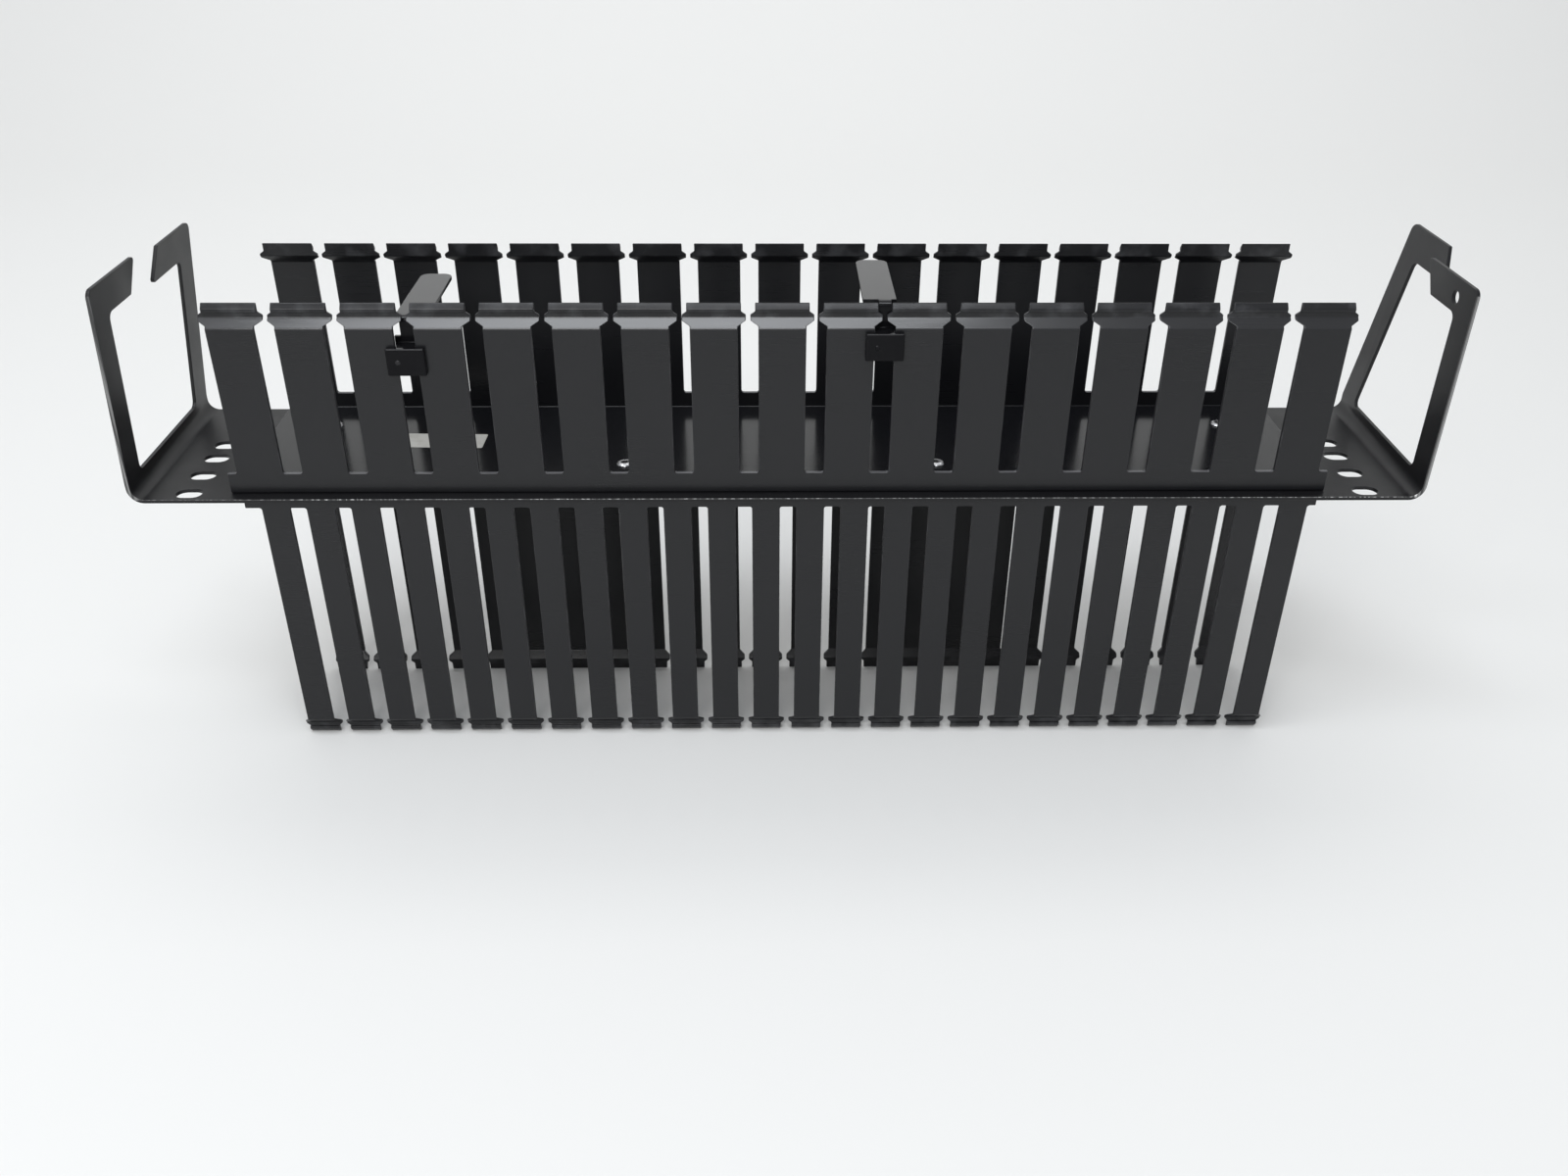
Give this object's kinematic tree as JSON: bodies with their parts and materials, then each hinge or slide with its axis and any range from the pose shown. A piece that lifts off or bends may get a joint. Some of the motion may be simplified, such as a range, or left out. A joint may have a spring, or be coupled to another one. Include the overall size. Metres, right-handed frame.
{
  "type": "horizontal cable manager",
  "caption": "Rack-mount horizontal cable manager: slotted plate with open end rings, a slotted finger duct front and rear, and sliding cable retainers.",
  "frame": {"origin": "middle of the mounting plate's back face, centre of the rack slot pattern", "axes": "+X along the rack's width, +Z out of the rack's front, Y across the plate, from its near long edge at -Y to its far one at +Y"},
  "size_m": [0.521, 0.0874, 0.2007],
  "materials": {
    "powder_coat": "satin black powder coat on steel",
    "duct_plastic": "matte black, extruded and punched",
    "retainer_plastic": "smooth black moulding",
    "rivet_aluminium": "bright",
    "mandrel_steel": "plain steel, snapped end",
    "label_paper": "plain, bare"
  },
  "bodies": {
    "manager": {"mounting_plate": "powder_coat", "front_duct": "duct_plastic", "rear_duct": "duct_plastic", "label": "label_paper", "left_outer_rivet": "rivet_aluminium", "left_outer_rivet_mandrel": "mandrel_steel", "left_inner_rivet": "rivet_aluminium", "left_inner_rivet_mandrel": "mandrel_steel", "right_outer_rivet": "rivet_aluminium", "right_outer_rivet_mandrel": "mandrel_steel", "right_inner_rivet": "rivet_aluminium", "right_inner_rivet_mandrel": "mandrel_steel"},
    "left_retainer": {"left_retainer": "retainer_plastic"},
    "right_retainer": {"right_retainer": "retainer_plastic"}
  },
  "joints": [
    {"name": "left_retainer_slide", "type": "slide", "parent": "manager", "child": "left_retainer", "axis": [0, 0, 1], "range_m": [-0.04, 0.0066]},
    {"name": "right_retainer_slide", "type": "slide", "parent": "manager", "child": "right_retainer", "axis": [0, 0, 1], "range_m": [-0.0457, 0.0009]}
  ]
}
